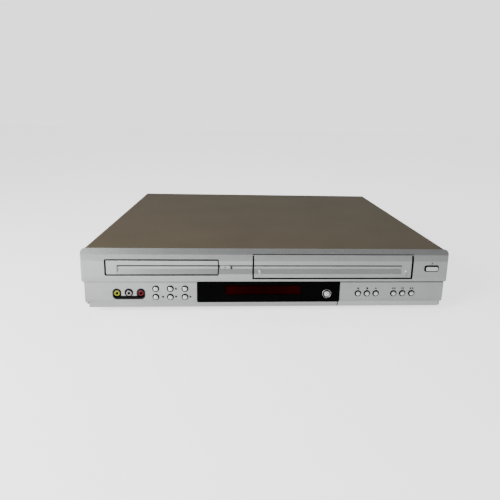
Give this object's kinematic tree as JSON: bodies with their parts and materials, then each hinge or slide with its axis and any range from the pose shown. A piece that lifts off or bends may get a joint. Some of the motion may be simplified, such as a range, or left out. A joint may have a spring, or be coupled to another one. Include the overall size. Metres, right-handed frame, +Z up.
{
  "type": "disc player and tape cassette recorder deck",
  "caption": "Low silver-fronted home deck with a motor-driven disc tray, a hinged tape cassette flap, a dark display window, push keys and phono jacks.",
  "frame": {"origin": "under the middle of the case, on the plane its feet stand on", "axes": "+Z up, the front panel faces -Y, +X to the right seen from the front"},
  "size_m": [0.43, 0.354, 0.0785],
  "materials": {
    "cover_paint": "satin",
    "silver_plastic": "metallic satin",
    "black_plastic": "satin",
    "window": "gloss",
    "steel": "galvanised",
    "chrome": "bright",
    "rubber": "matte",
    "yellow": "gloss",
    "white": "gloss",
    "red": "gloss",
    "board": "solder mask",
    "display": "gloss",
    "ivory": "moulded",
    "drum_metal": "turned"
  },
  "bodies": {
    "case": {"bottom_chassis": "steel", "rear_panel": "steel", "top_cover": "cover_paint", "front_panel": "silver_plastic", "right_panel": "silver_plastic", "display_window": "window", "select_ring": "chrome", "feet": "rubber", "cover_screws": "chrome", "cord_gland": "black_plastic", "jack_pocket": "black_plastic", "jack_yellow": "yellow", "jack_white": "white", "jack_red": "red", "main_board": "board", "power_board": "board", "front_board": "board", "display_module": "display", "rear_sockets": "black_plastic", "loader_frame": "black_plastic", "tray_motor": "steel", "drive_belt": "rubber", "clamp_bridge": "steel", "deck_plate": "steel", "lower_drum": "drum_metal", "carriage_frame": "steel"},
    "tray": {"disc_tray": "black_plastic", "tray_door": "silver_plastic"},
    "tray_gear": {"tray_gear": "ivory"},
    "belt_pulley": {"belt_pulley": "ivory"},
    "motor_pulley": {"motor_pulley": "ivory"},
    "clamp_puck": {"clamp_puck": "ivory"},
    "traverse": {"traverse_chassis": "black_plastic"},
    "turntable": {"turntable": "black_plastic"},
    "pickup": {"pickup": "black_plastic"},
    "feed_screw": {"feed_screw": "steel"},
    "cassette_flap": {"cassette_flap": "silver_plastic"},
    "carriage_slide": {"carriage_slide": "ivory"},
    "cassette_holder": {"cassette_holder": "steel"},
    "head_drum": {"head_drum": "drum_metal"},
    "capstan": {"capstan": "steel"},
    "pinch_arm": {"pinch_arm": "steel"},
    "pinch_roller": {"pinch_roller": "rubber"},
    "supply_reel": {"supply_reel": "ivory"},
    "takeup_reel": {"takeup_reel": "ivory"},
    "key_select": {"key_select": "chrome"},
    "key_tray": {"key_tray": "silver_plastic"},
    "key_eject": {"key_eject": "silver_plastic"},
    "key_enter": {"key_enter": "silver_plastic"},
    "key_up": {"key_up": "silver_plastic"},
    "key_mode": {"key_mode": "silver_plastic"},
    "key_left": {"key_left": "silver_plastic"},
    "key_down": {"key_down": "silver_plastic"},
    "key_right": {"key_right": "silver_plastic"},
    "key_record": {"key_record": "silver_plastic"},
    "key_stop": {"key_stop": "silver_plastic"},
    "key_play": {"key_play": "silver_plastic"},
    "key_rewind": {"key_rewind": "silver_plastic"},
    "key_pause": {"key_pause": "silver_plastic"},
    "key_forward": {"key_forward": "silver_plastic"}
  },
  "joints": [
    {"name": "tray_slide", "type": "slide", "parent": "case", "child": "tray", "axis": [0, -1, 0], "range_m": [0, 0.135]},
    {"name": "tray_gear_spin", "type": "hinge", "parent": "case", "child": "tray_gear", "pos_m": [-0.1653, -0.145, 0.0467], "axis": [0, 0, 1], "range_deg": [0, 967]},
    {"name": "belt_pulley_spin", "type": "hinge", "parent": "case", "child": "belt_pulley", "pos_m": [-0.1437, -0.145, 0.0409], "axis": [0, 0, 1], "range_deg": [-2763, 0]},
    {"name": "motor_pulley_spin", "type": "hinge", "parent": "case", "child": "motor_pulley", "pos_m": [-0.1037, -0.148, 0.0409], "axis": [0, 0, 1], "range_deg": [-9040, 0]},
    {"name": "puck_spin", "type": "hinge", "parent": "case", "child": "clamp_puck", "pos_m": [-0.1233, -0.108, 0.0659], "axis": [0, 0, 1], "continuous": true},
    {"name": "traverse_lift", "type": "hinge", "parent": "case", "child": "traverse", "pos_m": [-0.1233, -0.021, 0.0414], "axis": [-1, 0, 0], "range_deg": [0, 4.3]},
    {"name": "turntable_spin", "type": "hinge", "parent": "traverse", "child": "turntable", "pos_m": [-0.1233, -0.108, 0.0518], "axis": [0, 0, 1], "continuous": true},
    {"name": "pickup_slide", "type": "slide", "parent": "traverse", "child": "pickup", "axis": [0, 1, 0], "range_m": [0, 0.034]},
    {"name": "feed_screw_spin", "type": "hinge", "parent": "traverse", "child": "feed_screw", "pos_m": [-0.1493, -0.06, 0.0454], "axis": [0, 1, 0], "range_deg": [0, 4081]},
    {"name": "flap_swing", "type": "hinge", "parent": "case", "child": "cassette_flap", "pos_m": [0.0755, -0.1746, 0.0718], "axis": [1, 0, 0], "range_deg": [0, 90], "stiffness_Nm_per_rad": 0.004, "springref_deg": -20.05},
    {"name": "carriage_in", "type": "slide", "parent": "case", "child": "carriage_slide", "axis": [0, -1, 0], "range_m": [-0.036, 0]},
    {"name": "carriage_down", "type": "slide", "parent": "carriage_slide", "child": "cassette_holder", "axis": [0, 0, 1], "range_m": [-0.017, 0]},
    {"name": "drum_spin", "type": "hinge", "parent": "case", "child": "head_drum", "pos_m": [0.0705, 0.03, 0.024], "axis": [0, -0.0872, 0.9962], "continuous": true},
    {"name": "capstan_spin", "type": "hinge", "parent": "case", "child": "capstan", "pos_m": [0.128, 0, 0.02], "axis": [0, 0, 1], "continuous": true},
    {"name": "pinch_swing", "type": "hinge", "parent": "case", "child": "pinch_arm", "pos_m": [0.152, 0.014, 0.0243], "axis": [0, 0, -1], "range_deg": [0, 30]},
    {"name": "roller_spin", "type": "hinge", "parent": "pinch_arm", "child": "pinch_roller", "pos_m": [0.14199, -0.00355, 0.0265], "axis": [0, 0, 1], "continuous": true},
    {"name": "supply_spin", "type": "hinge", "parent": "case", "child": "supply_reel", "pos_m": [0.031, -0.075, 0.022], "axis": [0, 0, 1], "continuous": true},
    {"name": "takeup_spin", "type": "hinge", "parent": "case", "child": "takeup_reel", "pos_m": [0.12, -0.075, 0.022], "axis": [0, 0, 1], "continuous": true},
    {"name": "key_select_press", "type": "slide", "parent": "case", "child": "key_select", "axis": [0, 1, 0], "range_m": [0, 0.0006], "stiffness_N_per_m": 400},
    {"name": "key_tray_press", "type": "slide", "parent": "case", "child": "key_tray", "axis": [0, 1, 0], "range_m": [0, 0.0006], "stiffness_N_per_m": 400},
    {"name": "key_eject_press", "type": "slide", "parent": "case", "child": "key_eject", "axis": [0, 1, 0], "range_m": [0, 0.0006], "stiffness_N_per_m": 400},
    {"name": "key_enter_press", "type": "slide", "parent": "case", "child": "key_enter", "axis": [0, 1, 0], "range_m": [0, 0.0006], "stiffness_N_per_m": 400},
    {"name": "key_up_press", "type": "slide", "parent": "case", "child": "key_up", "axis": [0, 1, 0], "range_m": [0, 0.0006], "stiffness_N_per_m": 400},
    {"name": "key_mode_press", "type": "slide", "parent": "case", "child": "key_mode", "axis": [0, 1, 0], "range_m": [0, 0.0006], "stiffness_N_per_m": 400},
    {"name": "key_left_press", "type": "slide", "parent": "case", "child": "key_left", "axis": [0, 1, 0], "range_m": [0, 0.0006], "stiffness_N_per_m": 400},
    {"name": "key_down_press", "type": "slide", "parent": "case", "child": "key_down", "axis": [0, 1, 0], "range_m": [0, 0.0006], "stiffness_N_per_m": 400},
    {"name": "key_right_press", "type": "slide", "parent": "case", "child": "key_right", "axis": [0, 1, 0], "range_m": [0, 0.0006], "stiffness_N_per_m": 400},
    {"name": "key_record_press", "type": "slide", "parent": "case", "child": "key_record", "axis": [0, 1, 0], "range_m": [0, 0.0006], "stiffness_N_per_m": 400},
    {"name": "key_stop_press", "type": "slide", "parent": "case", "child": "key_stop", "axis": [0, 1, 0], "range_m": [0, 0.0006], "stiffness_N_per_m": 400},
    {"name": "key_play_press", "type": "slide", "parent": "case", "child": "key_play", "axis": [0, 1, 0], "range_m": [0, 0.0006], "stiffness_N_per_m": 400},
    {"name": "key_rewind_press", "type": "slide", "parent": "case", "child": "key_rewind", "axis": [0, 1, 0], "range_m": [0, 0.0006], "stiffness_N_per_m": 400},
    {"name": "key_pause_press", "type": "slide", "parent": "case", "child": "key_pause", "axis": [0, 1, 0], "range_m": [0, 0.0006], "stiffness_N_per_m": 400},
    {"name": "key_forward_press", "type": "slide", "parent": "case", "child": "key_forward", "axis": [0, 1, 0], "range_m": [0, 0.0006], "stiffness_N_per_m": 400}
  ],
  "couplings": [
    {"joint": "tray_gear_spin", "follows": "tray_slide", "rad_per_m": 125},
    {"joint": "belt_pulley_spin", "follows": "tray_slide", "rad_per_m": -357.14},
    {"joint": "motor_pulley_spin", "follows": "tray_slide", "rad_per_m": -1168},
    {"joint": "feed_screw_spin", "follows": "pickup_slide", "rad_per_m": 2094.4}
  ]
}
